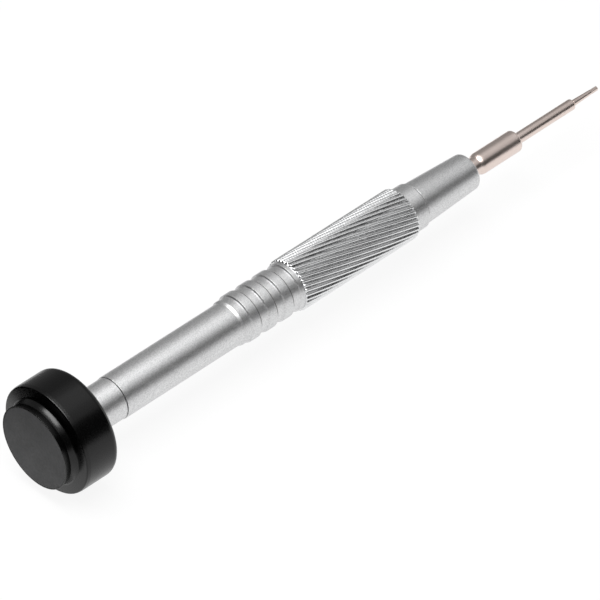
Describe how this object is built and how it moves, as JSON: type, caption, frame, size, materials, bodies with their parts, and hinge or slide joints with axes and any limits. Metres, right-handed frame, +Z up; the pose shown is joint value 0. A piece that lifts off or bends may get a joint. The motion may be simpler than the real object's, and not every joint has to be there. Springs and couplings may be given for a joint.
{
  "type": "precision screwdriver",
  "caption": "Slim metal screwdriver with a fluted grip, finger rings, a tapered nose, a fine lobed bit and a wide finger cap that turns freely on a ball bearing.",
  "frame": {"origin": "centre of the cap's flat end face", "axes": "+X along the tool's axis from the cap to the tip, +Z up with the tool lying on its side"},
  "size_m": [0.13, 0.0198, 0.0198],
  "materials": {
    "satin_aluminium": "bead-blasted satin",
    "nickel_steel": "satin nickel plate",
    "black_anodised": "black anodised, semi-gloss",
    "cover_plastic": "fine matte",
    "bearing_steel": "ground",
    "cage_brass": "pressed",
    "dark_steel": "black oxide"
  },
  "bodies": {
    "handle": {"handle_barrel": "satin_aluminium", "nose_sleeve": "satin_aluminium", "bit": "nickel_steel", "rear_ferrule": "satin_aluminium", "spindle_screw": "dark_steel", "spindle_washer": "bearing_steel", "bearing_inner_race": "bearing_steel"},
    "cap": {"cap_shell": "black_anodised", "cap_cover": "cover_plastic", "cap_circlip": "dark_steel", "bearing_outer_race": "bearing_steel", "bearing_shield_front": "bearing_steel", "bearing_shield_rear": "bearing_steel"},
    "ball_set": {"bearing_cage": "cage_brass", "bearing_ball_1": "bearing_steel", "bearing_ball_2": "bearing_steel", "bearing_ball_3": "bearing_steel", "bearing_ball_4": "bearing_steel", "bearing_ball_5": "bearing_steel", "bearing_ball_6": "bearing_steel", "bearing_ball_7": "bearing_steel"}
  },
  "joints": [
    {"name": "cap_spin", "type": "hinge", "parent": "handle", "child": "cap", "pos_m": [0.0056, 0, 0], "axis": [1, 0, 0], "continuous": true},
    {"name": "cage_spin", "type": "hinge", "parent": "handle", "child": "ball_set", "pos_m": [0.0056, 0, 0], "axis": [1, 0, 0], "continuous": true}
  ],
  "couplings": [
    {"joint": "cage_spin", "follows": "cap_spin", "ratio": 0.63333}
  ]
}
